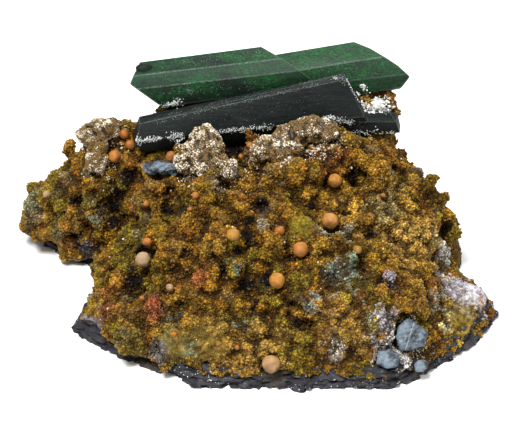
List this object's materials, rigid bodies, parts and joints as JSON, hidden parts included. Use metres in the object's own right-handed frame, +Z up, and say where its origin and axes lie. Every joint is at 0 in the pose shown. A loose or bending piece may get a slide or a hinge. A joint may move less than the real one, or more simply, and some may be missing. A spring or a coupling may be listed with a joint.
{
  "type": "vivianite and wavellite mineral specimen",
  "caption": "Cabinet mineral specimen: dark green vivianite blades on a lumpy limonite mass with wavellite balls and druse, over a flat slate base that it rests on.",
  "frame": {"origin": "a point on the slate's flat underside, under the middle of the specimen", "axes": "+X along the long vivianite blades, to the right as pictured; +Y from the pictured front to the back; +Z up from the face the specimen rests on"},
  "size_m": [0.083, 0.0611, 0.0361],
  "materials": {
    "slate": "cleaved slate with broken bedded edges",
    "limonite": "rough ochre and brown botryoidal crust",
    "dark_vivianite": "nearly black green crystal with a dusty film",
    "green_vivianite": "deep green translucent crystal, striated along its length",
    "blue_grey_vivianite": "dull blue grey broken crystal",
    "wavellite_ball": "tan radiating globe, stained orange",
    "wavellite_druse": "sparkling white and tan crust of fine crystals"
  },
  "bodies": {
    "root": {"slate_base": "slate", "limonite_mass": "limonite", "vivianite_front_blade": "dark_vivianite", "vivianite_left_blade": "green_vivianite", "vivianite_right_blade": "green_vivianite", "vivianite_shard": "blue_grey_vivianite", "blue_crystal_large": "blue_grey_vivianite", "blue_crystal_small": "blue_grey_vivianite", "blue_crystal_low": "blue_grey_vivianite", "wavellite_druse_shoulder": "wavellite_druse", "wavellite_druse_left": "wavellite_druse", "wavellite_druse_right": "wavellite_druse", "wavellite_ball_01": "wavellite_ball", "wavellite_ball_02": "wavellite_ball", "wavellite_ball_03": "wavellite_ball", "wavellite_ball_04": "wavellite_ball", "wavellite_ball_05": "wavellite_ball", "wavellite_ball_06": "wavellite_ball", "wavellite_ball_07": "wavellite_ball", "wavellite_ball_08": "wavellite_ball", "wavellite_ball_09": "wavellite_ball", "wavellite_ball_10": "wavellite_ball", "wavellite_ball_11": "wavellite_ball", "wavellite_ball_12": "wavellite_ball", "wavellite_ball_13": "wavellite_ball", "wavellite_ball_14": "wavellite_ball"}
  },
  "joints": []
}
